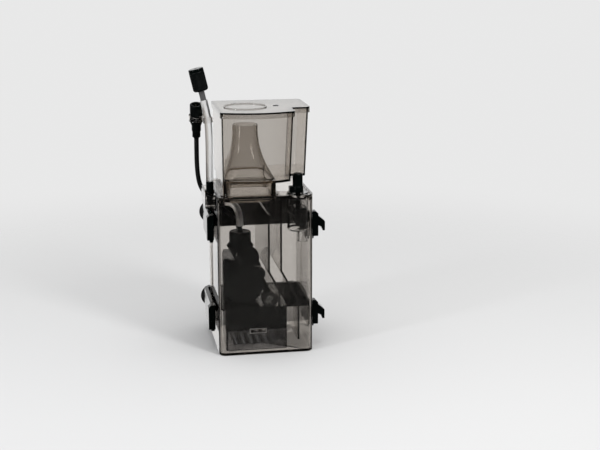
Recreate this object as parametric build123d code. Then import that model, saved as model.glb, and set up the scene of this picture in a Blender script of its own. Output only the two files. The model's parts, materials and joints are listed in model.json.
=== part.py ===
from build123d import *
import math
import os

os.makedirs("parts", exist_ok=True)

# Hang-in protein skimmer. X is width, +Y points at the aquarium glass behind it, +Z is up.
# The origin is the centre of the tank's underside. Millimetres.

# ---------------------------------------------------------------- driving dimensions
tank_w = 110.0  # outside width of the tank
tank_d = 110.0  # outside depth of the tank
tank_h = 188.0  # height of the tank's rim
tank_wall = 2.5
tank_floor = 3.0
tank_corner = 8.0
rail_y = 18.7  # centre of the guide rail on each side
rail_w = 3.0
rail_out = 1.6

deck_t = 3.0
deck_drop = 1.0  # rim above the deck's top face
deck_fit = 0.15
ledge_w = 2.0
ledge_h = 3.0

ear_out = 10.8  # how far the hose ear stands off the tank
ear_front = -26.0  # where its slanted front begins
ear_root = -43.0  # where the slanted front meets the tank
ear_back = 19.5
ear_h = 18.0
ear_wall = 1.6

spigot_w = 61.0
spigot_d = 83.0
spigot_x = -16.8  # centre of the spigot
spigot_y = -6.5
spigot_corner = 6.0
spigot_fit = 0.35  # all round, seal to deck opening
spigot_drop = 6.0  # below the deck's top face
seal_proud = 0.6
seal_h = 2.4

cup_left = -48.0
cup_right = 33.5  # right side of the front half
cup_wing = 56.0  # right side of the rear half
cup_front = -48.0
cup_bow = 10.0
cup_back = 48.0
cup_step = -19.0  # front face of the rear wing
cup_rise = 14.5  # the cup floor's underside above the tank's rim
cup_floor_t = 2.5
cup_h = 78.5  # underside of the floor to the rim
cup_wall = 2.0
cup_lean_left = 0.5  # how far each side leans in at the floor
cup_lean_front = 1.0
cup_lean_side = 3.5
cup_lean_back = 3.0
cup_corner = 4.0
lid_over = 1.6
lid_t = 2.0
lid_skirt = 4.5
lid_fit = 0.35
lid_ring_r = 25.0
lid_ring_h = 1.2

riser_r = 15.0  # outside radius of the mouth
riser_inset_w = 3.0  # how much smaller the neck's base is than the spigot
riser_inset_d = 5.0
riser_shift = (0.8, 1.0)  # from the spigot's centre to the neck's
riser_h = 58.0
riser_wall = 1.6

weir_x = 3.5
weir_drop = 18.6  # from under the deck to the weir's edge
weir_bend = 97.5
weir_foot_x = 15.4
weir_foot_bend = 76.4
return_x = 17.6
return_bend = 99.0
return_foot_x = 37.8
return_foot_bend = 62.0
return_gap = 15.0  # height of the water passage under the return baffle
baffle_t = 2.2
baffle_fit = 0.1

plinth_left = -46.0
plinth_right = 25.5
plinth_front = -46.0
plinth_back = 44.0
plinth_z = 28.5
plinth_top = 55.0
plinth_flange = 4.5

valve_r = 12.4  # outlet regulator, in the front right corner
valve_gap = 0.8  # to the tank's walls
valve_wall = 1.5
valve_h = 43.5  # underside to the deck's top face
gate_fit = 0.05
gate_wall = 1.6
gate_h = 25.0
gate_drop = 14.0  # under the housing's top
knob_r = 5.8
knob_h = 15.0
knob_base_r = 8.0
knob_base_h = 7.0
nozzle_r = 6.2
nozzle_h = 13.0
nozzle_shift = 5.8

pump_x = -24.0  # axis of the impeller
pump_z = 79.5
pump_front = -38.0
pump_back = 36.0
motor_w = 46.0
motor_h = 48.0
volute_r = 23.0
volute_d = 18.0
rotor_r = 9.0
rotor_len = 36.0
rotor_gap = 0.8
shaft_r = 1.5
shaft_fit = 0.05
impeller_r = 15.0
impeller_t = 9.0
needle_r = 0.9
needle_count = 14
foot_h = 2.5
stator_half_w = 15.0
stator_fit = 0.2
bush_r = 3.0
bush_t = 4.0
outlet_x = -8.0  # axis of the pump's outlet, in front of the cover
outlet_z = 94.3
outlet_r = 8.4
outlet_wall = 2.0
outlet_l = 5.0
outlet_cap_t = 3.0
drop_r = 3.8  # pipe from the outlet down to the diffuser
drop_bore = 2.6
diffuser_x = 5.3
diffuser_y = -40.0
diffuser_r = 9.2
diffuser_half_l = 8.0

venturi_x = -20.5
venturi_z = 115.6
venturi_r = 10.0
knob_ring_r = 13.4  # the flared knob on the venturi's front
knob_ring_l = 13.0
head_x = -25.5
head_y = -20.0
head_r = 12.7
head_top = 140.6
bell_r = 15.8  # widest part of the mixer head, under its cap
bell_z = 123.5
bell_foot_r = 6.0
air_r = 2.7
air_h = 6.0
hose_r = 4.2

sleeve_drop = 12.8  # from the tank's rim to the air elbow
barb_h = 12.0
gland_y = 27.0
gland_z = 169.8
gland_r = 5.6
lead_r = 2.75

yoke_t = 4.2
yoke_gap = 0.4  # between the arms and the rails, and between the strap and the tank
yoke_h = 32.0
upper_yoke_drop = 59.5  # from the tank's rim to the bracket's underside
lower_yoke_z = 21.0
arm_front = -24.0
bar_t = 8.0
bar_d = 9.0
bar_lift = 4.6  # from the strap's underside to the bar's
claw_out = 8.0
claw_t = 3.2
cup_pad_r = 14.0
cup_pad_x = 50.0

# ---------------------------------------------------------------- shape helpers
parts = {}


def block(x, y, z):
    """A box from three (low, high) spans."""
    centre = [(lo + hi) / 2 for lo, hi in (x, y, z)]
    return Pos(*centre) * Box(x[1] - x[0], y[1] - y[0], z[1] - z[0])


def rod(axis, at, span, r, top_r=None):
    """A cylinder, or a cone where top_r is given, along axis; at holds its other two coordinates."""
    length = span[1] - span[0]
    middle = (span[0] + span[1]) / 2
    round_bar = Cylinder(r, length) if top_r is None else Cone(r, top_r, length)
    if axis == "z":
        return Pos(at[0], at[1], middle) * round_bar
    if axis == "y":
        return Pos(at[0], middle, at[1]) * Rot(-90, 0, 0) * round_bar
    return Pos(middle, at[0], at[1]) * Rot(0, 90, 0) * round_bar


def pipe(axis, at, span, r, bore):
    return rod(axis, at, span, r) - rod(axis, at, (span[0] - 1, span[1] + 1), bore)


def slab(width, depth, corner, z, at=(0, 0)):
    """A rounded rectangle stood up between two heights."""
    return Pos(at[0], at[1], z[0]) * extrude(RectangleRounded(width, depth, corner), z[1] - z[0])


def sheet(points, thick, y):
    """A folded sheet: a line in the XZ plane, thickened to both sides with mitred bends."""
    runs = [Vector(*end) - Vector(*start) for start, end in zip(points, points[1:])]
    normals = [Vector(-run.Y, run.X).normalized() for run in runs]
    sides = []
    for i, at in enumerate(points):
        before, after = normals[max(i - 1, 0)], normals[min(i, len(normals) - 1)]
        mitre = (before + after) * (thick / (1 + before.dot(after)) / 2)
        sides.append((Vector(*at) + mitre, Vector(*at) - mitre))
    outline = [near for near, _ in sides] + [far for _, far in reversed(sides)]
    face = make_face(Polyline(*[(p.X, p.Y) for p in outline], close=True))
    return extrude(Plane.XZ.offset(-y[0]) * face, -(y[1] - y[0]))


in_x = tank_w / 2 - tank_wall
in_y = tank_d / 2 - tank_wall
deck_top = tank_h - deck_drop
deck_under = deck_top - deck_t
cup_floor_z = tank_h + cup_rise
cup_top_z = cup_floor_z + cup_h
weir_top = deck_under - weir_drop
valve_x = in_x - valve_r - valve_gap
valve_y = valve_r + valve_gap - in_y
valve_bottom = deck_top - valve_h
sleeve_z = tank_h - sleeve_drop
upper_yoke_z = tank_h - upper_yoke_drop

# ---------------------------------------------------------------- tank
tank = slab(tank_w, tank_d, tank_corner, (0, tank_h))
tank = fillet(tank.edges().group_by(Axis.Z)[0], 1.8)
inner_w, inner_d = 2 * in_x, 2 * in_y
inner_corner = tank_corner - tank_wall
tank -= slab(inner_w, inner_d, inner_corner, (tank_floor, tank_h + 1))
ledge = slab(inner_w + 1, inner_d + 1, inner_corner, (deck_under - ledge_h, deck_under))
ledge -= slab(inner_w - 2 * ledge_w, inner_d - 2 * ledge_w, inner_corner - ledge_w,
              (deck_under - ledge_h - 1, deck_under + 1))
notch = valve_r + 1.5
ledge -= rod("z", (valve_x, valve_y), (deck_under - ledge_h - 1, deck_under + 1), notch)
ledge -= block((weir_x - 4, in_x - 16), (-in_y - 1, in_y + 1), (deck_under - ledge_h - 1, deck_under + 1))
tank += ledge & slab(tank_w - 0.5, tank_d - 0.5, tank_corner, (0, tank_h))
for side in (-1, 1):
    near = side * (tank_w / 2 - 0.5)
    far = side * (tank_w / 2 + rail_out)
    tank += block(sorted((near, far)), (rail_y - rail_w / 2, rail_y + rail_w / 2), (12, deck_under))

ear_x = (-tank_w / 2 - ear_out, -tank_w / 2 + 0.5)


def ear_block(inset, right, z):
    """The ear's plan, a box with a slanted front, drawn in by inset."""
    left, back = ear_x[0] + inset, ear_back - inset
    slant = inset * 0.55
    plan = Polyline((right, ear_root + inset + 2 * slant), (left, ear_front + slant), (left, back), (right, back),
                    close=True)
    return Pos(0, 0, z[0]) * extrude(make_face(plan), z[1] - z[0])


ear = ear_block(0.0, ear_x[1], (tank_h - ear_h, tank_h))
ear = fillet(ear.edges().filter_by(Axis.Z).group_by(Axis.X)[0], 3.0)
hollow = ear_block(ear_wall, -tank_w / 2 - 0.01, (tank_h - ear_h + ear_wall, tank_h - ear_wall))
tank += ear - slab(inner_w, inner_d, inner_corner, (0, tank_h + 1))
tank -= hollow
barb_x = -tank_w / 2 - ear_out / 2 + 1.0
barb_y = -18.5
elbow_r = 3.3
tank -= rod("z", (barb_x, barb_y), (tank_h - ear_wall - 1, tank_h + 1), elbow_r + 0.05)
tank -= rod("x", (barb_y, sleeve_z), (-tank_w / 2 - 1, -in_x + 1), elbow_r + 0.05)
tank -= rod("x", (gland_y, gland_z), (-tank_w / 2 - 1, -in_x + 1), gland_r + 0.05)

slot_count, slot_pitch, slot_w = 6, 9.0, 4.5
slots_mid = (plinth_left + plinth_right) / 2
for i in range(slot_count):
    x = slots_mid + (i - (slot_count - 1) / 2) * slot_pitch
    tank -= block((x - slot_w / 2, x + slot_w / 2), (-22, 26), (-1, tank_floor + 1))
parts["tank_shell"] = tank

# ---------------------------------------------------------------- deck
opening_w = spigot_w + 2 * (seal_proud + spigot_fit)
opening_d = spigot_d + 2 * (seal_proud + spigot_fit)
opening_corner = spigot_corner + seal_proud + spigot_fit
deck = slab(inner_w - 2 * deck_fit, inner_d - 2 * deck_fit, inner_corner, (deck_under, deck_top))
deck -= slab(opening_w, opening_d, opening_corner, (deck_under - 1, deck_top + 1), (spigot_x, spigot_y))
deck -= rod("z", (valve_x, valve_y), (deck_under - 1, deck_top + 1), valve_r + 0.05)
parts["deck_plate"] = deck

# ---------------------------------------------------------------- baffles
plinth_seat = plinth_top + baffle_fit
weir = sheet([(weir_x, weir_top), (weir_x, weir_bend), (weir_foot_x, weir_foot_bend),
              (weir_foot_x, plinth_seat)], baffle_t, (-in_y + baffle_fit, in_y - baffle_fit))
parts["weir_baffle"] = weir
back_sheet = sheet([(return_x, deck_under - baffle_fit), (return_x, return_bend),
                    (return_foot_x, return_foot_bend), (return_foot_x, return_gap)],
                   baffle_t, (-in_y + baffle_fit, in_y - baffle_fit))
parts["return_baffle"] = back_sheet

# ---------------------------------------------------------------- plinth and intake box
px, py = (plinth_left, plinth_right), (plinth_front, plinth_back)
intake = block(px, py, (tank_floor, plinth_z))
intake = fillet(intake.edges().filter_by(Axis.Z), 3.0)
intake_wall = 2.0
intake -= block((px[0] + intake_wall, px[1] - intake_wall), (py[0] + intake_wall, py[1] - intake_wall),
                (tank_floor - 1, plinth_z - intake_wall))
tab_x, tab_w, tab_h = -8.8, 20.0, 6.0
tab_z = plinth_z - 2.2
intake -= block((tab_x - tab_w / 2 + 1, tab_x + tab_w / 2 - 1), (py[0] - 1, py[0] + intake_wall + 1),
                (tab_z - tab_h / 2 + 1, tab_z + tab_h / 2 - 1))
port_r = 9.0
intake -= rod("z", (pump_x, 10), (plinth_z - intake_wall - 1, plinth_z + 1), port_r)
parts["intake_box"] = intake

frame_out = 0.9
tab = block((tab_x - tab_w / 2, tab_x + tab_w / 2), (py[0] - frame_out, py[0]),
            (tab_z - tab_h / 2, tab_z + tab_h / 2))
tab -= block((tab_x - tab_w / 2 + 1, tab_x + tab_w / 2 - 1), (py[0] - 2, py[0] + 1),
             (tab_z - tab_h / 2 + 1, tab_z + tab_h / 2 - 1))
parts["intake_frame"] = tab

plinth = block(px, py, (plinth_z, plinth_top))
plinth = fillet(plinth.edges().filter_by(Axis.Z), 3.0)
flange = block((px[0] - plinth_flange, px[0] + 5), (py[0], py[1]), (plinth_top - 2.5, plinth_top))
flange = fillet(flange.edges().filter_by(Axis.Z).group_by(Axis.X)[0], 2.0)
plinth += flange
plinth_wall = 2.5
plinth -= block((px[0] + plinth_wall, px[1] - plinth_wall), (py[0] + plinth_wall, py[1] - plinth_wall),
                (plinth_z - 1, plinth_top - plinth_wall))
plinth -= rod("z", (pump_x, 10), (plinth_top - plinth_wall - 1, plinth_top + 1), port_r)
parts["pump_plinth"] = plinth

# ---------------------------------------------------------------- pump
motor_bottom = plinth_top + foot_h
motor_top = motor_bottom + motor_h
motor_y = (pump_front + volute_d, pump_back)
motor_x = (pump_x - motor_w / 2, pump_x + motor_w / 2)
motor = block(motor_x, motor_y, (motor_bottom, motor_top))
motor = fillet(motor.edges().filter_by(Axis.Y), 9.0)
motor = fillet(motor.edges().group_by(Axis.Y)[-1], 4.0)
well_r = rotor_r + rotor_gap
rotor_y = (pump_front + volute_d + 1.0, pump_front + volute_d + 1.0 + rotor_len)
well_end = rotor_y[1] + 1.5
motor -= rod("y", (pump_x, pump_z), (motor_y[0] - 1, well_end), well_r)
stator_x = (pump_x - stator_half_w, pump_x + stator_half_w)
stator_y = (motor_y[0] + 8, motor_y[1] - 8)
stator_z = (motor_bottom + 3, pump_z - well_r - 2)
motor -= block(stator_x, stator_y, stator_z)
motor -= rod("y", (pump_x, pump_z), (well_end - 1, well_end + bush_t), bush_r + 0.02)
motor -= rod("z", (pump_x, 10), (motor_bottom - 1, motor_bottom + 2.9), port_r)
parts["pump_motor_housing"] = motor
core = [(lo + stator_fit, hi - stator_fit) for lo, hi in (stator_x, stator_y, stator_z)]
parts["stator_core"] = block(*core)

volute_y = (pump_front, pump_front + volute_d)
cover = rod("y", (pump_x, pump_z), volute_y, volute_r)
cover = fillet(cover.edges().group_by(Axis.Y)[0], 3.0)
chamber_r = impeller_r + 1.5
cover -= rod("y", (pump_x, pump_z), (volute_y[0] + 3.0, volute_y[1] + 1), chamber_r)
cover -= rod("y", (pump_x, pump_z), (volute_y[0] + 1.0, volute_y[0] + 3.5), bush_r + 0.02)
seal_groove_r = volute_r - 2.2
seal_groove_y = (volute_y[1] - 1.6, volute_y[1] + 0.5)
cover -= pipe("y", (pump_x, pump_z), seal_groove_y, seal_groove_r, seal_groove_r - 2.0)
venturi_y = (-46.0, 12.0)
oring_y = (volute_y[1] - 1.5, volute_y[1])
parts["pump_oring"] = pipe("y", (pump_x, pump_z), oring_y, seal_groove_r - 0.1, seal_groove_r - 1.9)
post_r, post_z = 4.2, (pump_z - 8.0, pump_z + 30.5)
post = rod("z", (pump_x - volute_r + 3.7, pump_front + 9.0), post_z, post_r)
post = fillet(post.edges().group_by(Axis.Z)[-1], 3.0)
cover += post - rod("y", (pump_x, pump_z), (pump_front, pump_front + volute_d), volute_r - 1)
parts["pump_front_cover"] = cover

shaft_y = (volute_y[0] + 1.2, well_end + bush_t - 0.3)
parts["rotor_shaft"] = rod("y", (pump_x, pump_z), shaft_y, shaft_r)
spin = (pump_x, pump_z)
for name, y in (("front", volute_y[0] + 1.0), ("rear", well_end)):
    parts[name + "_bush"] = pipe("y", spin, (y, y + bush_t), bush_r, shaft_r + 0.01)
parts["magnet_rotor"] = pipe("y", spin, rotor_y, rotor_r, shaft_r + shaft_fit)
hub_y = (rotor_y[0] - 1.0 - impeller_t, rotor_y[0])
impeller = pipe("y", spin, (hub_y[0], hub_y[1]), 4.5, shaft_r + shaft_fit)
impeller += pipe("y", spin, (hub_y[1] - 3.2, hub_y[1] - 1.5), impeller_r, shaft_r + shaft_fit)
for ring_r in (impeller_r - 2.0, impeller_r - 5.5):
    for i in range(needle_count):
        turn = math.tau * i / needle_count
        at = (pump_x + ring_r * math.cos(turn), pump_z + ring_r * math.sin(turn))
        impeller += rod("y", at, (hub_y[0], hub_y[1] - 3), needle_r)
parts["impeller"] = impeller

tube = pipe("y", (venturi_x, venturi_z), venturi_y, venturi_r, venturi_r - 2.0)
cap_foot = bell_z + 5.0
head_cap = rod("z", (head_x, head_y), (cap_foot, head_top), head_r)
head = fillet(head_cap.edges().group_by(Axis.Z)[-1], 2.6)
head += rod("z", (head_x, head_y), (bell_z, cap_foot), bell_r, head_r - 0.6)
head += rod("z", (head_x, head_y), (motor_top, bell_z), bell_foot_r, bell_r)
head -= rod("y", (venturi_x, venturi_z), venturi_y, venturi_r + 0.05)
head -= rod("z", (head_x, head_y), (venturi_z, head_top - 4), head_r - 3.5)
head_air = rod("z", (head_x, head_y), (head_top - 5, head_top + 1), 1.4)
head -= head_air
head = head.solids().sort_by(SortBy.VOLUME)[-1]
tube -= rod("z", (head_x, head_y), (venturi_z + 4, venturi_z + 12), 3.0)
parts["venturi_tube"] = tube
parts["mixer_head"] = head
nozzle = pipe("z", (head_x, head_y), (head_top, head_top + air_h), air_r, 1.4)
nozzle += pipe("z", (head_x, head_y), (head_top, head_top + 1.2), air_r + 1.6, 1.4)
parts["air_nozzle"] = nozzle

venturi_at = (venturi_x, venturi_z)
face_y = venturi_y[0]
ring_y = (face_y - 4.0, face_y - 4.0 + knob_ring_l)
flare_y = (face_y, ring_y[1])
end_knob = rod("y", venturi_at, (ring_y[0], face_y), knob_ring_r)
end_knob = fillet(end_knob.edges().group_by(Axis.Y)[0], 1.4)
end_knob += rod("y", venturi_at, flare_y, knob_ring_r, venturi_r + 0.7)
end_knob -= rod("y", venturi_at, (face_y, ring_y[1] + 1), venturi_r + 0.05)
end_knob -= rod("y", venturi_at, (ring_y[0] - 1, face_y - 1.4), venturi_r - 1.8)
grip_x = (venturi_x - venturi_r + 1.0, venturi_x + venturi_r - 1.0)
knob_grip = block(grip_x, (ring_y[0] - 0.6, face_y - 1.0), (venturi_z - 1.9, venturi_z + 1.9))
end_knob += fillet(knob_grip.edges().group_by(Axis.Y)[0], 0.5)
parts["venturi_knob"] = end_knob

outlet_at = (outlet_x, outlet_z)
outlet_y = (pump_front - outlet_l, pump_front)
cap_y = (outlet_y[0] - outlet_cap_t, outlet_y[0])
stub_cap = rod("y", outlet_at, cap_y, outlet_r)
stub_cap = fillet(stub_cap.edges().group_by(Axis.Y)[0], 1.6)
parts["outlet_cap"] = stub_cap

diffuser_z = plinth_top + diffuser_r - 0.4
octagon = Rot(0, 0, 22.5) * extrude(RegularPolygon(diffuser_r, 8), diffuser_half_l, both=True)
diffuser = Pos(diffuser_x, diffuser_y, diffuser_z) * Rot(90, 0, 0) * octagon
diffuser_mouth = (diffuser_y - diffuser_half_l - 2, diffuser_y + 6)
diffuser -= rod("y", (diffuser_x, diffuser_z), diffuser_mouth, diffuser_r - 3.8)
diffuser_right = weir_foot_x - baffle_t / 2 - 0.4
diffuser &= block((-20, diffuser_right), (-in_y + 0.3, 0), (plinth_top + 0.1, plinth_top + 35))

# the drop pipe leans from under the outlet to the diffuser's top
drop_y = (cap_y[1] + outlet_y[1]) / 2 - 1.2
drop_from = Vector(outlet_x + 3.5, drop_y, outlet_z - outlet_r + 2.0)
drop_to = Vector(diffuser_x - 1.5, drop_y, diffuser_z + diffuser_r - 3.0)
drop_line = drop_to - drop_from
drop_plane = Plane(origin=(drop_from + drop_to) / 2, z_dir=drop_line)
drop_hole = drop_plane * Cylinder(drop_bore, drop_line.length + 8)
drop = drop_plane * Cylinder(drop_r, drop_line.length) - drop_hole
drop -= rod("y", outlet_at, (cap_y[0] - 1, outlet_y[1] + 20), outlet_r)
drop -= diffuser
parts["outlet_drop"] = drop.solids().sort_by(SortBy.VOLUME)[-1]
parts["bubble_diffuser"] = diffuser
parts["outlet_stub"] = pipe("y", outlet_at, outlet_y, outlet_r, outlet_r - outlet_wall)

feet = None
for x in (motor_x[0] + 11, motor_x[1] - 11):
    for y in (motor_y[0] + 7, motor_y[1] - 9):
        foot = rod("z", (x, y), (plinth_top, motor_bottom), 5.0, 4.0)
        feet = foot if feet is None else feet + foot
parts["pump_feet"] = feet

# ---------------------------------------------------------------- hoses and lead


def route(points, share=0.45):
    """Straight runs joined by tangent arcs as large as the runs allow, and the arcs' radii."""
    points = [Vector(*p) for p in points]
    radii = []
    for before, at, after in zip(points, points[1:], points[2:]):
        turn = (at - before).get_angle(after - at)
        shorter = min((at - before).length, (after - at).length)
        radii.append(share * shorter / math.tan(math.radians(turn / 2)))
    return FilletPolyline(*points, radius=radii), radii


def tube_along(name, points, r):
    path, radii = route(points)
    start = Plane(origin=path @ 0, z_dir=path % 0)
    solid = sweep(start * Circle(r), path=path)
    print(name, "length", round(path.length, 1), "volume", round(solid.volume),
          "expected", round(math.pi * r * r * path.length), "radii", [round(v, 1) for v in radii])
    return solid


barb_top = tank_h + barb_h
outer_hose_points = [
    (barb_x, barb_y, barb_top),
    (barb_x, barb_y, 218.0),
    (barb_x + 0.3, barb_y, 241.0),
    (barb_x - 0.1, barb_y, 263.0),
    (barb_x - 1.9, barb_y, 279.0),
    (barb_x - 5.3, barb_y, 293.5),
]
nozzle_top = head_top + air_h
sleeve_x = -42.5
inner_hose_points = [
    (sleeve_x, barb_y, sleeve_z),
    (-37.0, barb_y, sleeve_z),
    (-30.6, barb_y - 0.3, sleeve_z - 4.6),
    (-26.8, barb_y - 0.8, sleeve_z - 12.0),
    (head_x, head_y, sleeve_z - 20.5),
    (head_x, head_y, nozzle_top),
]
lead_exit = (-20.0, 26.0, motor_top + 9.0)
lead_points = [
    lead_exit,
    (-20.0, 26.0, 125.5),
    (-21.8, 26.3, 136.5),
    (-27.0, 26.7, 146.3),
    (-36.0, 27.0, 154.5),
    (-48.5, 27.0, 164.6),
    (-60.0, 27.0, 175.0),
    (-67.2, 26.5, 187.5),
    (-69.8, 23.0, 207.0),
    (-70.5, 17.0, 228.0),
    (-70.9, 11.0, 246.0),
]
outer_hose = tube_along("outer_hose", outer_hose_points, hose_r)
inner_hose = tube_along("inner_hose", inner_hose_points, hose_r)
pump_lead = tube_along("pump_lead", lead_points, lead_r)
parts["outer_hose"] = outer_hose
parts["inner_hose"] = inner_hose
parts["pump_lead"] = pump_lead

elbow = rod("x", (barb_y, sleeve_z), (barb_x - elbow_r, sleeve_x), elbow_r)
elbow += rod("x", (barb_y, sleeve_z), (-in_x + 0.1, sleeve_x), hose_r + 0.7)
elbow += rod("z", (barb_x, barb_y), (sleeve_z, tank_h), elbow_r)
elbow -= rod("x", (barb_y, sleeve_z), (barb_x, sleeve_x + 1), 2.0)
elbow -= rod("z", (barb_x, barb_y), (sleeve_z, tank_h + 1), 2.0)
parts["air_elbow"] = elbow
barb = rod("z", (barb_x, barb_y), (tank_h, tank_h + 2.0), hose_r + 1.3)
barb += rod("z", (barb_x, barb_y), (tank_h + 2.0, barb_top), hose_r + 0.2)
barb = fillet(barb.edges().group_by(Axis.Z)[-1], 0.6)
barb -= rod("z", (barb_x, barb_y), (tank_h - 1, barb_top + 1), 2.0)
parts["hose_barb"] = barb

gland = rod("x", (gland_y, gland_z), (-tank_w / 2 - 2.6, -tank_w / 2), gland_r + 1.2)
gland = fillet(gland.edges().group_by(Axis.X)[0], 1.2)
gland += rod("x", (gland_y, gland_z), (-tank_w / 2, -in_x + 0.5), gland_r)
gland -= pump_lead
parts["cable_gland"] = gland
relief = rod("z", (lead_exit[0], lead_exit[1]), (motor_top, lead_exit[2]), 4.6, lead_r + 0.8)
parts["lead_relief"] = relief


def tail_plane(points):
    """The plane across a route's last point, facing onwards."""
    tail = Vector(*points[-1])
    return Plane(origin=tail, z_dir=tail - Vector(*points[-2]))


lead_end = tail_plane(lead_points)
boot_l, collar_l, barrel_l = 10.0, 7.0, 26.0
collar_r, barrel_r = 5.4, 7.2
socket_r, socket_l = 4.6, 8.0
boot = rod("z", (0, 0), (0, boot_l), lead_r + 0.4, lead_r + 1.6)
for i in range(3):
    boot += rod("z", (0, 0), (2.0 + 3.0 * i, 3.4 + 3.0 * i), lead_r + 2.0)
parts["connector_boot"] = lead_end * boot
collar_top = boot_l + collar_l
parts["connector_collar"] = lead_end * rod("z", (0, 0), (boot_l, collar_top), collar_r)
barrel_top = collar_top + barrel_l
barrel = rod("z", (0, 0), (collar_top, collar_top + 4.0), collar_r + 0.4, barrel_r)
barrel += rod("z", (0, 0), (collar_top + 4.0, barrel_top), barrel_r)
barrel = fillet(barrel.edges().group_by(Axis.Z)[-1], 1.0)
barrel -= rod("z", (0, 0), (barrel_top - socket_l, barrel_top + 1), socket_r)
parts["connector_barrel"] = lead_end * barrel
pin_count, pin_ring_r, pin_r = 3, 2.2, 0.6
pins = None
for i in range(pin_count):
    turn = math.tau * i / pin_count
    pin_at = (pin_ring_r * math.cos(turn), pin_ring_r * math.sin(turn))
    pin = rod("z", pin_at, (barrel_top - socket_l, barrel_top - 2.0), pin_r)
    pins = pin if pins is None else pins + pin
parts["connector_pins"] = lead_end * pins

# silencer on the outer hose
hose_end = tail_plane(outer_hose_points)
stem_l, silencer_l, silencer_r, cap_l = 11.0, 22.0, 8.6, 3.6
parts["silencer_stem"] = hose_end * rod("z", (0, 0), (0, stem_l), hose_r - 1.0, hose_r - 0.8)
shell = rod("z", (0, 0), (stem_l, stem_l + silencer_l), silencer_r)
shell = chamfer(shell.edges().group_by(Axis.Z)[0], 1.2)
parts["silencer_shell"] = hose_end * shell
cap_top = stem_l + silencer_l + cap_l
silencer_cap = rod("z", (0, 0), (stem_l + silencer_l, cap_top), silencer_r)
silencer_cap = fillet(silencer_cap.edges().group_by(Axis.Z)[-1], 1.2)
silencer_cap -= rod("z", (0, 0), (cap_top - 3.0, cap_top + 1), 1.6)
parts["silencer_cap"] = hose_end * silencer_cap

# a double clip that holds the lead's connector to the outer hose
clip_at, clip_h, clip_wall, clip_fit = 26.0, 6.0, 1.4, 0.06
grip_plane = lead_end * Pos(0, 0, clip_at)
barrel_mid = lead_end.origin + lead_end.z_dir * clip_at
hose_path, _ = route(outer_hose_points)
hose_share = next(t / 200 for t in range(200) if (hose_path @ (t / 200)).Z > barrel_mid.Z)
hose_mid = hose_path @ hose_share
clip = grip_plane * rod("z", (0, 0), (-clip_h / 2, clip_h / 2), barrel_r + clip_wall)
hose_ring = rod("z", (0, 0), (-clip_h / 2, clip_h / 2), hose_r + clip_wall)
clip += Plane(origin=hose_mid, z_dir=hose_path % hose_share) * hose_ring
bridge = hose_mid - barrel_mid
web_up = bridge.cross(Vector(0, 0, 1)).cross(bridge)
web = Plane(origin=(hose_mid + barrel_mid) / 2, x_dir=bridge, z_dir=web_up)
clip += web * Box(bridge.length, 2.2, clip_h - 1.0)
clip -= grip_plane * rod("z", (0, 0), (-clip_h, clip_h), barrel_r + clip_fit)
clip -= sweep(Plane(origin=hose_path @ 0, z_dir=hose_path % 0) * Circle(hose_r + clip_fit), path=hose_path)
parts["lead_clip"] = clip

# ---------------------------------------------------------------- outlet regulator
valve = (valve_x, valve_y)
housing = rod("z", valve, (valve_bottom, deck_top), valve_r)
housing = fillet(housing.edges().group_by(Axis.Z)[0], 4.0)
housing += rod("z", valve, (deck_top, deck_top + 1.4), valve_r - 0.2)
housing -= rod("z", valve, (valve_bottom + 2.0, deck_top - 1.5), valve_r - valve_wall)
stem_r = 3.0
housing -= rod("z", valve, (deck_top - 3, deck_top + 2), stem_r + gate_fit)
nozzle_at = (valve_x + nozzle_shift, valve_y)
housing -= rod("z", nozzle_at, (valve_bottom - 1, valve_bottom + 3), nozzle_r - 2.0)
window_z = (valve_bottom + 4.5, valve_bottom + 22.0)
housing -= block((valve_x - valve_r - 1, valve_x), (valve_y - 5, valve_y + 5), window_z)
parts["outlet_housing"] = housing
spout = pipe("z", nozzle_at, (valve_bottom - nozzle_h, valve_bottom), nozzle_r, nozzle_r - 2.0)
parts["outlet_nozzle"] = spout
parts["housing_oring"] = pipe("z", valve, (deck_under - 2.2, deck_under - 0.2), valve_r + 0.7, valve_r + 0.02)

gate_r = valve_r - valve_wall - 0.3
gate_top = deck_top - 1.5 - gate_drop
gate_z = (gate_top - gate_h, gate_top)
gate = rod("z", valve, gate_z, gate_r)
gate -= rod("z", valve, (gate_z[0] - 1, gate_top - 2.0), gate_r - gate_wall)
gate -= Pos(valve_x - gate_r, valve_y, gate_z[0]) * Rot(0, 28, 0) * Box(30, 40, 16)
gate -= block((valve_x - gate_r - 1, valve_x - gate_r * 0.4), (valve_y - 20, valve_y + 20),
              (gate_z[0] - 1, gate_top + 1.0))
gate += rod("z", valve, (gate_top, deck_top + 1.4), stem_r)
parts["gate_sleeve"] = gate
knob_z = deck_top + 1.6
knob = rod("z", valve, (knob_z, knob_z + knob_base_h), knob_base_r - 1.4)
lobe_reach = 5.6
knob += block((valve_x - lobe_reach - 4.5, valve_x), (valve_y - 3.4, valve_y + 3.4),
              (knob_z, knob_z + knob_base_h))
knob = fillet(knob.edges().group_by(Axis.Z)[-1], 1.0)
grip = rod("z", valve, (knob_z + knob_base_h - 0.01, knob_z + knob_base_h + knob_h), knob_r)
grip = fillet(grip.edges().group_by(Axis.Z)[-1], 2.4)
knob += grip
knob += rod("z", valve, (deck_top + 1.4, knob_z + 0.1), stem_r)
parts["regulator_knob"] = knob

# ---------------------------------------------------------------- collection cup


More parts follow.
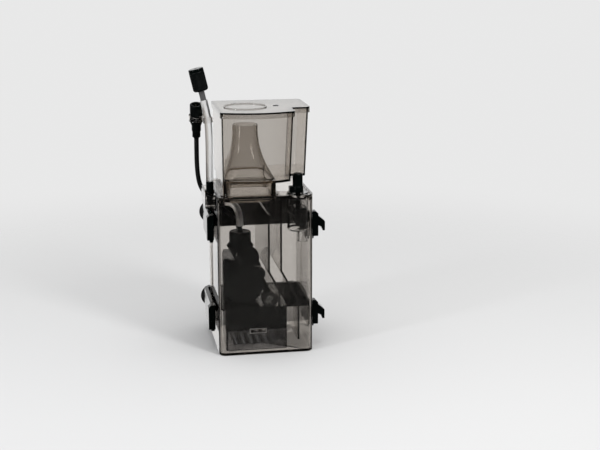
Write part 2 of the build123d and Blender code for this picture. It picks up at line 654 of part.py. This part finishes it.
def cup_outline(z, lean, grow=0.0):
    """The cup's plan at height z: a bowed front, and a step that clears the regulator.

    lean is 0 at the rim and 1 at the floor."""
    left, back = cup_left + lean * cup_lean_left - grow, cup_back - lean * cup_lean_back + grow
    right, wing = cup_right - lean * cup_lean_side + grow, cup_wing - lean * cup_lean_side + grow
    front, step = cup_front + lean * cup_lean_front - grow, cup_step + lean * cup_lean_front - grow
    middle = (left + right) / 2
    edges = [
        ThreePointArc((left, front, z), (middle, front - cup_bow, z), (right, front, z)),
        Line((right, front, z), (right, step, z)),
        Line((right, step, z), (wing, step, z)),
        Line((wing, step, z), (wing, back, z)),
        Line((wing, back, z), (left, back, z)),
        Line((left, back, z), (left, front, z)),
    ]
    return make_face(edges)


def cup_prism(z, leans, grow=0.0, corner=0.0):
    shape = loft([cup_outline(z[0], leans[0], grow), cup_outline(z[1], leans[1], grow)], ruled=True)
    if corner:
        upright = [e for e in shape.edges() if abs((e @ 1 - e @ 0).Z) > 0.8 * (z[1] - z[0])]
        shape = fillet(upright, corner)
    return shape


cup = cup_prism((cup_floor_z, cup_top_z), (1.0, 0.0), 0.0, cup_corner)
floor_top = cup_floor_z + cup_floor_t
floor_lean = 1.0 - cup_floor_t / (cup_top_z - cup_floor_z)
cup -= cup_prism((floor_top, cup_top_z + 0.01), (floor_lean, 0.0), -cup_wall, cup_corner - cup_wall)
riser_x, riser_y = spigot_x + riser_shift[0], spigot_y + riser_shift[1]
riser_base_w, riser_base_d = spigot_w - riser_inset_w, spigot_d - riser_inset_d
riser_top_z = floor_top + riser_h


def riser_section(z, spread, shrink):
    """The neck's outline; spread is 0 at its round mouth and 1 at its base."""
    mouth = 2 * riser_r
    w = mouth + (riser_base_w - mouth) * spread - 2 * shrink
    d = mouth + (riser_base_d - mouth) * spread - 2 * shrink
    corner = min(w, d) * (0.499 - 0.36 * spread)
    return Pos(riser_x - 0.6 * (1 - spread), riser_y, z) * RectangleRounded(w, d, corner)


spigot_at = (spigot_x, spigot_y)
spigot_z = (deck_top - spigot_drop, cup_floor_z + 0.5)
spigot = slab(spigot_w, spigot_d, spigot_corner, spigot_z, spigot_at)
stop_w, stop_d = opening_w + 3.0, opening_d + 3.0
spigot += slab(stop_w, stop_d, opening_corner + 1.5, (deck_top, deck_top + 1.4), spigot_at)
throat = extrude(riser_section(spigot_z[0] - 1, 1.0, riser_wall), floor_top - spigot_z[0] + 2)
seal_z = (deck_under + 0.3, deck_under + 0.3 + seal_h)
groove = slab(spigot_w + 9, spigot_d + 9, spigot_corner + 4.5, seal_z, spigot_at)
groove -= slab(spigot_w - 1.2, spigot_d - 1.2, spigot_corner - 0.6, (seal_z[0] - 1, seal_z[1] + 1), spigot_at)
cup += spigot
cup -= groove
cup -= throat
parts["cup_body"] = cup
seal = slab(spigot_w + 2 * seal_proud, spigot_d + 2 * seal_proud, spigot_corner + seal_proud,
            (seal_z[0] + 0.02, seal_z[1] - 0.02), spigot_at)
seal -= slab(spigot_w - 1.2, spigot_d - 1.2, spigot_corner - 0.6, (seal_z[0] - 1, seal_z[1] + 1), spigot_at)
parts["spigot_seal"] = seal


def riser_loft(shrink, ends):
    """The neck: a rounded rectangle that narrows in a smooth curve to a round mouth."""
    # height above the floor as a share, and width as a share between mouth (0) and base (1)
    profile = [(0.0, 1.0), (0.10, 0.80), (0.25, 0.52), (0.45, 0.24), (0.68, 0.06), (1.0, 0.0)]
    faces = []
    for share, spread in profile:
        z = floor_top + share * riser_h
        if share == 0.0:
            z -= ends
        if share == 1.0:
            z += ends
        faces.append(riser_section(z, spread, shrink))
    return loft(faces)


riser = riser_loft(0.0, 0.0) - riser_loft(riser_wall, 0.02)
parts["riser_neck"] = riser

lid = cup_prism((cup_top_z + 0.1, cup_top_z + 0.1 + lid_t), (0.0, 0.0), lid_over, cup_corner + lid_over)
skirt = cup_prism((cup_top_z - lid_skirt, cup_top_z + 0.11), (0.0, 0.0), lid_over, cup_corner + lid_over)
skirt -= cup_prism((cup_top_z - lid_skirt - 1, cup_top_z + 1), (0.0, 0.0), lid_fit, cup_corner + lid_fit)
lid += skirt
lid_top = cup_top_z + 0.1 + lid_t
lid_ring_at = (cup_left + 32.0, -6.0)
lid += pipe("z", lid_ring_at, (lid_top - 0.1, lid_top + lid_ring_h), lid_ring_r, lid_ring_r - 1.4)
vent_at = (20.0, -3.0)
vent_w, vent_d = 6.0, 3.6
lid -= block((vent_at[0] - vent_w / 2, vent_at[0] + vent_w / 2),
             (vent_at[1] - vent_d / 2, vent_at[1] + vent_d / 2), (lid_top - 4, lid_top + 1))
parts["cup_lid"] = lid
vent_fit = 0.05
vent = block((vent_at[0] - vent_w / 2 + vent_fit, vent_at[0] + vent_w / 2 - vent_fit),
             (vent_at[1] - vent_d / 2 + vent_fit, vent_at[1] + vent_d / 2 - vent_fit),
             (lid_top - lid_t, lid_top + 0.4))
for i in range(3):
    x = vent_at[0] + (i - 1) * 1.7
    vent -= block((x - 0.4, x + 0.4), (vent_at[1] - 1.2, vent_at[1] + 1.2), (lid_top - 4, lid_top + 1))
parts["vent_plug"] = vent

# ---------------------------------------------------------------- brackets
arm_in = tank_w / 2 + rail_out + yoke_gap
arm_out = arm_in + yoke_t
band_in = tank_d / 2 + yoke_gap
band_out = band_in + yoke_t


def yoke(z0):
    z = (z0, z0 + yoke_h)
    strap = slab(2 * arm_out, 2 * band_out, tank_corner + 3, z)
    strap -= slab(2 * arm_in, 2 * band_in, tank_corner, (z[0] - 1, z[1] + 1))
    strap -= block((-100, 100), (-100, arm_front), (z[0] - 1, z[1] + 1))
    shape = strap
    for side in (-1, 1):
        def span(lo, hi):
            return tuple(sorted((side * lo, side * hi)))

        bar = block(span(arm_in, arm_in + bar_t), (arm_front - bar_d, arm_front), (z[0] + bar_lift, z[1] - 1))
        wedge = block(span(arm_in, arm_in + bar_t), (arm_front - bar_d, arm_front), (z[1] - 1, z[1] + 2.6))
        wedge = chamfer(wedge.edges().group_by(Axis.Z)[-1].sort_by(Axis.X)[0 if side < 0 else -1], 3.0)
        bar = fillet(bar.edges().group_by(Axis.Z)[0], 1.2)
        rail_face = rail_y - rail_w / 2
        lug = block(span(tank_w / 2 + yoke_gap, arm_in + 1), (rail_face - 3.4, rail_face - yoke_gap), z)
        outer = arm_in + bar_t
        tip = outer + claw_out
        hook = Polyline((outer - 0.5, z[1] - 3.5), (outer + 0.6, z[1] - 3.5), (tip - 1.2, z[1] - 8.6),
                        (tip, z[1] - 10.5), (tip, z[1] - 21.0), (tip - claw_t + 0.6, z[1] - 21.0),
                        (tip - claw_t - 1.2, z[1] - 16.5), (outer + 0.6, z[1] - 15.0),
                        (outer - 0.5, z[1] - 15.0), close=True)
        shape += bar
        shape += wedge
        shape += lug
        if side > 0:
            shape += extrude(Plane.XZ.offset(-(arm_front - bar_d + 1.0)) * make_face(hook), -(bar_d + 4.0))
        hole = rod("y", (side * cup_pad_x, z0 + yoke_h / 2), (band_in - 1, band_out + 1), 3.05)
        shape -= hole
    return shape


def suction_cup(x, z):
    """A knob through the strap, a neck and a thin flared dish that opens backwards."""
    y = band_out
    lip = y + 9.0
    dish = Pos(x, 0, z) * Rot(-90, 0, 0) * revolve(Plane.XZ * make_face(Polyline(
        (0, y + 0.2), (4.6, y + 0.2), (5.0, y + 2.0), (9.5, y + 4.0), (cup_pad_r - 0.6, lip - 1.6),
        (cup_pad_r, lip), (cup_pad_r - 1.2, lip), (8.8, y + 5.8), (0, y + 4.4), close=True)), Axis.Z)
    stem = rod("y", (x, z), (band_in + 0.4, y + 0.4), 3.0)
    return dish + stem


for name, z0 in (("upper", upper_yoke_z), ("lower", lower_yoke_z)):
    parts[name + "_yoke"] = yoke(z0)
    middle = z0 + yoke_h / 2
    parts[name + "_suction_cups"] = suction_cup(-cup_pad_x, middle) + suction_cup(cup_pad_x, middle)

# ---------------------------------------------------------------- files
for name, shape in parts.items():
    export_step(shape, f"parts/{name}.step")
print(len(parts), "nodes")
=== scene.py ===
"""Looks, cords, light and camera of the protein skimmer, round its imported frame."""

import json
import math

import bmesh
import bpy
from mathutils import Matrix, Vector


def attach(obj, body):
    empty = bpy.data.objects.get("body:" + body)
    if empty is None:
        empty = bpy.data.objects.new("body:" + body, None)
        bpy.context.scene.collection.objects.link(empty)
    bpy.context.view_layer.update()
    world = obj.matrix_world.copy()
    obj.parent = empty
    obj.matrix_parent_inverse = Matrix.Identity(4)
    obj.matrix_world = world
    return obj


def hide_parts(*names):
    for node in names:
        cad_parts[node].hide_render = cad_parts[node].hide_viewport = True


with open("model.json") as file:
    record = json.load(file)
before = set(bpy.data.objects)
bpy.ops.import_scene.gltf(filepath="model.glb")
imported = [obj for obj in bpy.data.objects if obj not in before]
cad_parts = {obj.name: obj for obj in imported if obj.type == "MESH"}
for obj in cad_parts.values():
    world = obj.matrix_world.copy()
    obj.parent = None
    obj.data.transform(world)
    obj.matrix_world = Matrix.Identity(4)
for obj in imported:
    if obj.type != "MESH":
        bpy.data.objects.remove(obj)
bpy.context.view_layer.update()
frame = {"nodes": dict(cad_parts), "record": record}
NODES = frame["nodes"]
BODY_OF = {node: body for body, nodes in frame["record"]["behaviour"]["bodies"].items() for node in nodes}
MM = 0.001


def mm(*point):
    return Vector(point) * MM


# ---------------------------------------------------------------- camera, stage and light
CAMERA_AT = mm(-196.0, -1355.8, 475.3)
LOOK_TURN = math.radians(10.25)  # towards +X from straight ahead
LOOK_DOWN = math.radians(13.71)
LENS = 71.55
SENSOR = 36.0


def make_camera():
    data = bpy.data.cameras.new("camera")
    data.lens, data.sensor_width = LENS, SENSOR
    camera = bpy.data.objects.new("camera", data)
    bpy.context.collection.objects.link(camera)
    ahead = Vector((math.sin(LOOK_TURN) * math.cos(LOOK_DOWN), math.cos(LOOK_TURN) * math.cos(LOOK_DOWN),
                    -math.sin(LOOK_DOWN)))
    camera.location = CAMERA_AT
    camera.rotation_euler = ahead.to_track_quat("-Z", "Y").to_euler()
    bpy.context.scene.camera = camera


PAPER = 0.81  # how pale the room looks, seen directly or through the plastic
ROOM_GLOW = 0.7  # what falls on matt surfaces from all round
FLOOR_FULL, FLOOR_GONE = 0.22, 1.0  # metres from the middle: the floor thins out into the room between them
FLOOR_CLEAR = 0.97  # share of its radius at which the floor is quite clear
FLOOR_GREY = 0.70
WALL_FRONT, WALL_BEHIND = 0.02, 1.0  # how pale the room looks in a reflection, by the way it faces along Y
WALL_FROM, WALL_TO = 0.6, 0.96
CLEAR_BOUNCES = 40  # enough for a ray through every wall of the tank and cup
FADE_BOUNCES = 24


def make_stage():
    """A pale round floor that thins out into the room, so that no edge shows from any side."""
    bm = bmesh.new()
    bmesh.ops.create_circle(bm, cap_ends=True, segments=96, radius=FLOOR_GONE)
    mesh = bpy.data.meshes.new("floor")
    bm.to_mesh(mesh)
    bm.free()
    floor = bpy.data.objects.new("floor", mesh)
    bpy.context.collection.objects.link(floor)
    paper = bpy.data.materials.new("floor_paper")
    paper.use_nodes = True
    tree = paper.node_tree
    shader = tree.nodes["Principled BSDF"]
    shader.inputs["Base Color"].default_value = (FLOOR_GREY, FLOOR_GREY, FLOOR_GREY, 1)
    shader.inputs["Roughness"].default_value = 1.0
    shader.inputs["Specular IOR Level"].default_value = 0.0
    place = tree.nodes.new("ShaderNodeTexCoord")
    far = tree.nodes.new("ShaderNodeVectorMath")
    far.operation = "LENGTH"
    fade = tree.nodes.new("ShaderNodeMapRange")
    fade.interpolation_type = "SMOOTHSTEP"
    for label, value in (("From Min", FLOOR_FULL), ("From Max", FLOOR_GONE * FLOOR_CLEAR),
                         ("To Min", 1.0), ("To Max", 0.0)):
        fade.inputs[label].default_value = value
    tree.links.new(place.outputs["Object"], far.inputs[0])
    tree.links.new(far.outputs["Value"], fade.inputs["Value"])
    tree.links.new(fade.outputs["Result"], shader.inputs["Alpha"])
    mesh.materials.append(paper)
    floor.visible_glossy = False


def soft_light(name, at, target, size, power, colour):
    data = bpy.data.lights.new(name, "AREA")
    data.shape, data.size, data.size_y = "RECTANGLE", size[0], size[1]
    data.energy, data.color = power, colour
    lamp = bpy.data.objects.new(name, data)
    bpy.context.collection.objects.link(lamp)
    lamp.location = at
    lamp.rotation_euler = (Vector(target) - Vector(at)).to_track_quat("-Z", "Y").to_euler()
    lamp.visible_camera = False


def make_room():
    """A pale room in which reflections see dark walls in front and a pale wall behind."""
    world = bpy.data.worlds.new("studio")
    bpy.context.scene.world = world
    world.cycles.sampling_method = "NONE"  # only rays meet the room, and their bounces choose what they see
    world.use_nodes = True
    tree = world.node_tree
    background = tree.nodes["Background"]
    direction = tree.nodes.new("ShaderNodeTexCoord")
    parts = tree.nodes.new("ShaderNodeSeparateXYZ")
    tree.links.new(direction.outputs["Generated"], parts.inputs[0])
    wall = tree.nodes.new("ShaderNodeMapRange")
    wall.interpolation_type = "SMOOTHSTEP"
    for label, value in (("From Min", WALL_FROM), ("From Max", WALL_TO), ("To Min", WALL_FRONT),
                         ("To Max", WALL_BEHIND)):
        wall.inputs[label].default_value = value
    tree.links.new(parts.outputs["Y"], wall.inputs["Value"])
    ray = tree.nodes.new("ShaderNodeLightPath")
    seen = PAPER
    for bounces, other in (("Diffuse Depth", ROOM_GLOW), ("Glossy Depth", wall.outputs["Result"])):
        any_bounce = tree.nodes.new("ShaderNodeMath")
        any_bounce.operation = "MINIMUM"
        any_bounce.inputs[1].default_value = 1.0
        tree.links.new(ray.outputs[bounces], any_bounce.inputs[0])
        choose = tree.nodes.new("ShaderNodeMix")
        tree.links.new(any_bounce.outputs[0], choose.inputs["Factor"])
        for label, value in (("A", seen), ("B", other)):
            if isinstance(value, float):
                choose.inputs[label].default_value = value
            else:
                tree.links.new(value, choose.inputs[label])
        seen = choose.outputs["Result"]
    tree.links.new(seen, background.inputs["Color"])


LAMP_AIM = (0, 0, 0.15)
LAMPS = (  # name, place, size, watts, colour
    ("key", (0.62, -0.95, 0.95), (0.22, 0.8), 7, (1, 1, 1)),
    ("left_strip", (-0.95, -0.55, 0.5), (0.12, 0.9), 3.2, (0.95, 0.97, 1.0)),
    ("top", (0, -0.1, 1.5), (0.7, 0.7), 5, (1, 1, 1)),
)


def make_light():
    for name, at, size, power, colour in LAMPS:
        soft_light(name, at, LAMP_AIM, size, power, colour)
    make_room()
    scene = bpy.context.scene
    scene.view_settings.view_transform = "Standard"
    scene.cycles.max_bounces = CLEAR_BOUNCES
    scene.cycles.transmission_bounces = CLEAR_BOUNCES
    scene.cycles.transparent_max_bounces = FADE_BOUNCES


# ---------------------------------------------------------------- shared surface effects
def new_group(name, inputs, outputs):
    group = bpy.data.node_groups.new(name, "ShaderNodeTree")
    for label, kind, value in inputs:
        socket = group.interface.new_socket(label, in_out="INPUT", socket_type=kind)
        socket.default_value = value
    for label, kind in outputs:
        group.interface.new_socket(label, in_out="OUTPUT", socket_type=kind)
    return group, group.nodes.new("NodeGroupInput"), group.nodes.new("NodeGroupOutput")


def noise_node(tree, detail):
    """Noise of a given detail. Its scale comes from the group's own input."""
    node = tree.nodes.new("ShaderNodeTexNoise")
    node.inputs["Detail"].default_value = detail
    return node


SKIN_HEIGHT = 0.0002  # metres of relief at full depth
SPREAD_FROM, SPREAD_TO = 0.35, 0.65  # the range of noise over which smooth turns to rough
PATCH_FROM, PATCH_TO = 0.5, 0.8  # the range of noise over which a rubbed patch comes in


def make_grain_group():
    """Moulded plastic: a fine skin and slow flow marks in the relief, and roughness that changes with the
    flow marks.
    """
    float_, vector = "NodeSocketFloat", "NodeSocketVector"
    group, given, out = new_group("moulded_skin", [
        ("Skin Scale", float_, 900.0), ("Flow Scale", float_, 28.0), ("Depth", float_, 0.1),
        ("Smooth", float_, 0.15), ("Rough", float_, 0.3),
    ], [("Roughness", float_), ("Normal", vector)])
    place = group.nodes.new("ShaderNodeTexCoord")
    skin, flow = noise_node(group, 3.0), noise_node(group, 2.0)
    for node, label in ((skin, "Skin Scale"), (flow, "Flow Scale")):
        group.links.new(place.outputs["Object"], node.inputs["Vector"])
        group.links.new(given.outputs[label], node.inputs["Scale"])
    both = group.nodes.new("ShaderNodeMath")
    both.operation = "ADD"
    group.links.new(skin.outputs["Fac"], both.inputs[0])
    group.links.new(flow.outputs["Fac"], both.inputs[1])
    bump = group.nodes.new("ShaderNodeBump")
    bump.inputs["Distance"].default_value = SKIN_HEIGHT
    group.links.new(both.outputs[0], bump.inputs["Height"])
    group.links.new(given.outputs["Depth"], bump.inputs["Strength"])
    spread = group.nodes.new("ShaderNodeMapRange")
    spread.inputs["From Min"].default_value = SPREAD_FROM
    spread.inputs["From Max"].default_value = SPREAD_TO
    group.links.new(flow.outputs["Fac"], spread.inputs["Value"])
    group.links.new(given.outputs["Smooth"], spread.inputs["To Min"])
    group.links.new(given.outputs["Rough"], spread.inputs["To Max"])
    group.links.new(spread.outputs["Result"], out.inputs["Roughness"])
    group.links.new(bump.outputs["Normal"], out.inputs["Normal"])
    return group


def make_wear_group():
    """Handling: faint pale rubbing and dust in soft patches."""
    colour, float_ = "NodeSocketColor", "NodeSocketFloat"
    group, given, out = new_group("handling_marks", [
        ("Colour", colour, (0.02, 0.02, 0.02, 1)), ("Rubbed", colour, (0.1, 0.1, 0.1, 1)),
        ("Patch Scale", float_, 60.0), ("Amount", float_, 0.2),
    ], [("Colour", colour)])
    place = group.nodes.new("ShaderNodeTexCoord")
    patches = noise_node(group, 6.0)
    group.links.new(place.outputs["Object"], patches.inputs["Vector"])
    group.links.new(given.outputs["Patch Scale"], patches.inputs["Scale"])
    cut = group.nodes.new("ShaderNodeMapRange")
    cut.inputs["From Min"].default_value = PATCH_FROM
    cut.inputs["From Max"].default_value = PATCH_TO
    group.links.new(patches.outputs["Fac"], cut.inputs["Value"])
    group.links.new(given.outputs["Amount"], cut.inputs["To Max"])
    mix = group.nodes.new("ShaderNodeMix")
    mix.data_type = "RGBA"
    group.links.new(cut.outputs["Result"], mix.inputs["Factor"])
    group.links.new(given.outputs["Colour"], mix.inputs["A"])
    group.links.new(given.outputs["Rubbed"], mix.inputs["B"])
    group.links.new(mix.outputs["Result"], out.inputs["Colour"])
    return group


GRAIN = make_grain_group()
WEAR = make_wear_group()


# ---------------------------------------------------------------- materials
def start_material(name):
    material = bpy.data.materials.new(name)
    material.use_nodes = True
    return material, material.node_tree, material.node_tree.nodes["Principled BSDF"]


def add_skin(tree, shader, smooth, rough, depth, skin=900.0, flow=28.0):
    node = tree.nodes.new("ShaderNodeGroup")
    node.node_tree = GRAIN
    for label, value in (("Skin Scale", skin), ("Flow Scale", flow), ("Depth", depth), ("Smooth", smooth),
                         ("Rough", rough)):
        node.inputs[label].default_value = value
    tree.links.new(node.outputs["Roughness"], shader.inputs["Roughness"])
    tree.links.new(node.outputs["Normal"], shader.inputs["Normal"])


def add_wear(tree, shader, colour, rubbed, patch, amount):
    node = tree.nodes.new("ShaderNodeGroup")
    node.node_tree = WEAR
    node.inputs["Colour"].default_value = (*colour, 1)
    node.inputs["Rubbed"].default_value = (*rubbed, 1)
    node.inputs["Patch Scale"].default_value = patch
    node.inputs["Amount"].default_value = amount
    tree.links.new(node.outputs["Colour"], shader.inputs["Base Color"])


def opaque(name, colour, rubbed, smooth, rough, depth=0.1, patch=60.0, amount=0.25, metallic=0.0, shine=0.5,
           skin=900.0):
    material, tree, shader = start_material(name)
    add_wear(tree, shader, colour, rubbed, patch, amount)
    add_skin(tree, shader, smooth, rough, depth, skin)
    shader.inputs["Metallic"].default_value = metallic
    shader.inputs["Specular IOR Level"].default_value = shine
    return material


CLEAR_SKIN, CLEAR_FLOW = 260.0, 14.0  # scales of the marks on clear plastic


def clear(name, absorbs, tint, smooth=0.015, rough=0.05, depth=0.02, ior=1.49):
    """Clear plastic that is tinted through its thickness, so long paths along a wall go dark."""
    material, tree, shader = start_material(name)
    shader.inputs["Base Color"].default_value = (1, 1, 1, 1)
    shader.inputs["Transmission Weight"].default_value = 1.0
    shader.inputs["IOR"].default_value = ior
    add_skin(tree, shader, smooth, rough, depth, CLEAR_SKIN, CLEAR_FLOW)
    inside = tree.nodes.new("ShaderNodeVolumeAbsorption")
    inside.inputs["Color"].default_value = (*tint, 1)
    inside.inputs["Density"].default_value = absorbs
    tree.links.new(inside.outputs["Volume"], tree.nodes["Material Output"].inputs["Volume"])
    return material


WARM = (0.22, 0.12, 0.0)  # what the smoky plastics let through: red most, blue least
COOL = (0.02, 0.06, 0.05)
BLACK_SHINE = 0.2  # how strongly the black plastics mirror the room
FINISH = {
    "tank": clear("smoky_tank", 118.0, WARM),
    "baffle": clear("smoky_sheet", 70.0, WARM),
    "cup": clear("warm_cup", 165.0, WARM),
    "riser": clear("smoky_neck", 235.0, WARM),
    "lid": clear("cup_lid", 285.0, (0.14, 0.08, 0.0)),
    "deck": clear("deck_clear", 60.0, WARM),
    "valve": clear("valve_clear", 22.0, COOL),
    "diffuser": clear("diffuser_smoke", 330.0, COOL, 0.08, 0.2, 0.06),
    "intake": clear("intake_smoke", 520.0, (0.05, 0.05, 0.08), 0.1, 0.25, 0.05),
    "hose": clear("milky_hose", 14.0, (0.4, 0.38, 0.34), 0.3, 0.5, 0.1, 1.38),
    "seal": clear("soft_clear", 70.0, COOL, 0.15, 0.35, 0.08, 1.42),
    "gloss": opaque("gloss_black", (0.0012, 0.0022, 0.0020), (0.006, 0.008, 0.008),
                    0.06, 0.16, 0.04, shine=BLACK_SHINE),
    "pump": opaque("pump_black", (0.0010, 0.0028, 0.0024), (0.004, 0.008, 0.007),
                   0.1, 0.22, 0.06, shine=BLACK_SHINE),
    "matt": opaque("satin_black", (0.0022, 0.0034, 0.0032), (0.012, 0.014, 0.014),
                   0.26, 0.44, 0.2, 90.0, shine=BLACK_SHINE),
    "grey": opaque("satin_grey", (0.09, 0.09, 0.09), (0.2, 0.2, 0.2), 0.3, 0.5, 0.12),
    "rubber": opaque("matt_rubber", (0.004, 0.0045, 0.0045), (0.03, 0.03, 0.03), 0.6, 0.85, 0.3, 110.0),
    "ceramic": opaque("white_ceramic", (0.8, 0.8, 0.77), (0.62, 0.6, 0.56), 0.08, 0.18, 0.02, amount=0.2),
    "magnet": opaque("coated_magnet", (0.05, 0.05, 0.055), (0.14, 0.14, 0.15), 0.25, 0.45, 0.12,
                     metallic=0.6),
    "contact": opaque("contact_metal", (0.7, 0.53, 0.24), (0.4, 0.33, 0.2), 0.2, 0.35, 0.05, metallic=1.0),
    "bright": opaque("frame_grey", (0.36, 0.36, 0.37), (0.5, 0.5, 0.5), 0.2, 0.35, 0.05),
}
NODE_FINISH = {
    "tank": ("tank_shell",),
    "baffle": ("weir_baffle", "return_baffle"),
    "cup": ("cup_body",),
    "riser": ("riser_neck",),
    "lid": ("cup_lid",),
    "deck": ("deck_plate", "lead_clip"),
    "valve": ("outlet_housing", "outlet_nozzle"),
    "diffuser": ("bubble_diffuser",),
    "intake": ("intake_box",),
    "seal": ("spigot_seal",),
    "hose": ("inner_hose", "outer_hose"),
    "gloss": ("upper_yoke", "lower_yoke", "regulator_knob", "gate_sleeve", "pump_plinth", "hose_barb",
              "venturi_knob", "silencer_cap"),
    "pump": ("pump_motor_housing", "pump_front_cover", "venturi_tube", "mixer_head", "air_nozzle",
             "outlet_stub", "outlet_cap", "outlet_drop", "impeller"),
    "matt": ("silencer_shell", "connector_barrel", "connector_collar", "connector_boot", "lead_relief",
             "air_elbow", "vent_plug"),
    "grey": ("silencer_stem",),
    "bright": ("intake_frame",),
    "rubber": ("pump_lead", "cable_gland", "pump_feet", "pump_oring", "housing_oring", "upper_suction_cups",
               "lower_suction_cups"),
    "ceramic": ("rotor_shaft", "front_bush", "rear_bush"),
    "magnet": ("magnet_rotor", "stator_core"),
    "contact": ("connector_pins",),
}


def finish_nodes():
    for finish, names in NODE_FINISH.items():
        for name in names:
            slots = NODES[name].data.materials
            slots.clear()
            slots.append(FINISH[finish])
    missed = set(NODES) - {name for names in NODE_FINISH.values() for name in names}
    if missed:
        raise ValueError(f"nodes with no finish: {sorted(missed)}")


# ---------------------------------------------------------------- new pieces
def keep(name, mesh, finish, node):
    """Links a finished mesh, gives it its finish and lets it stand for a CAD node."""
    piece = bpy.data.objects.new(name, mesh)
    bpy.context.collection.objects.link(piece)
    mesh.materials.clear()
    mesh.materials.append(FINISH[finish])
    mesh.polygons.foreach_set("use_smooth", [True] * len(mesh.polygons))
    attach(piece, BODY_OF[node])
    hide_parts(node)
    return piece


def soft_line(name, points, r, finish, node):
    """A hose or lead on one smooth line through its route."""
    data = bpy.data.curves.new(name, "CURVE")
    data.dimensions = "3D"
    spline = data.splines.new("NURBS")
    spline.points.add(len(points) - 1)
    for place, at in zip(spline.points, points):
        place.co = (*mm(*at), 1)
    spline.order_u = 3
    spline.use_endpoint_u = True
    spline.resolution_u = 10
    data.bevel_depth = r * MM
    data.bevel_resolution = 8
    data.use_fill_caps = True
    piece = bpy.data.objects.new(name, data)
    bpy.context.collection.objects.link(piece)
    data.materials.append(FINISH[finish])
    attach(piece, BODY_OF[node])
    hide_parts(node)
    return piece


OUTER_HOSE = [(-59.4, -18.5, 200.0), (-59.4, -18.5, 218.0), (-59.1, -18.5, 241.0), (-59.5, -18.5, 263.0),
              (-61.3, -18.5, 279.0), (-64.7, -18.5, 293.5)]
INNER_HOSE = [(-42.5, -18.5, 175.2), (-37.0, -18.5, 175.2), (-30.6, -18.8, 170.6), (-26.8, -19.3, 163.2),
              (-25.5, -20.0, 154.7), (-25.5, -20.0, 146.6)]
PUMP_LEAD = [(-20.0, 26.0, 114.5), (-20.0, 26.0, 125.5), (-21.8, 26.3, 136.5), (-27.0, 26.7, 146.3),
             (-36.0, 27.0, 154.5), (-48.5, 27.0, 164.6), (-60.0, 27.0, 175.0), (-67.2, 26.5, 187.5),
             (-69.8, 23.0, 207.0), (-70.5, 17.0, 228.0), (-70.9, 11.0, 246.0)]
HOSE_R, HOSE_LENGTH = 4.2, 94.0
LEAD_R, LEAD_LENGTH = 2.75, 151.7
SILENCER_STEM, SILENCER_LENGTH, SILENCER_R = 11.0, 22.0, 8.6  # stem, body and radius, along the hose's end
SILENCER_TUCK = 1.2  # how far the body draws in at the stem
FLUTES, FLUTE_DEPTH, FLUTE_POINTS = 30, 0.45, 6
RINGS = 26
RIM, RIM_BLEND = 0.06, 0.05  # plain rim at each end and where the flutes begin, as shares of the body


def fluted_silencer():
    """The silencer's body, with fine flutes between two plain rims."""
    end, before = mm(*OUTER_HOSE[-1]), mm(*OUTER_HOSE[-2])
    axis = (end - before).normalized()
    around = FLUTES * FLUTE_POINTS
    turn = axis.to_track_quat("Z", "Y").to_matrix().to_4x4()
    place = Matrix.Translation(end + axis * SILENCER_STEM * MM) @ turn
    bm = bmesh.new()
    rows = []
    for i in range(RINGS + 1):
        share = i / RINGS
        fluted = min(1.0, max(0.0, (min(share, 1 - share) - RIM) / RIM_BLEND))
        base = SILENCER_R - SILENCER_TUCK * max(0.0, 1 - share / RIM)
        row = []
        for k in range(around):
            angle = math.tau * k / around
            out = base - FLUTE_DEPTH * fluted * (0.5 + 0.5 * math.cos(FLUTES * angle))
            at = mm(math.cos(angle) * out, math.sin(angle) * out, SILENCER_LENGTH * share)
            row.append(bm.verts.new(at))
        rows.append(row)
    for low, high in zip(rows, rows[1:]):
        for k in range(around):
            n = (k + 1) % around
            bm.faces.new((low[k], low[n], high[n], high[k]))
    bm.faces.new(list(reversed(rows[0])))
    bm.faces.new(rows[-1])
    bmesh.ops.transform(bm, matrix=place, verts=bm.verts)
    mesh = bpy.data.meshes.new("silencer_body")
    bm.to_mesh(mesh)
    bm.free()
    return keep("silencer_body", mesh, "matt", "silencer_shell")


def make_soft_parts():
    silencer = fluted_silencer()
    hose = soft_line("air_hose", OUTER_HOSE, HOSE_R, "hose", "outer_hose")
    soft_line("inlet_hose", INNER_HOSE, HOSE_R, "hose", "inner_hose")
    lead = soft_line("lead", PUMP_LEAD, LEAD_R, "rubber", "pump_lead")


make_camera()
finish_nodes()
make_soft_parts()
make_stage()
make_light()
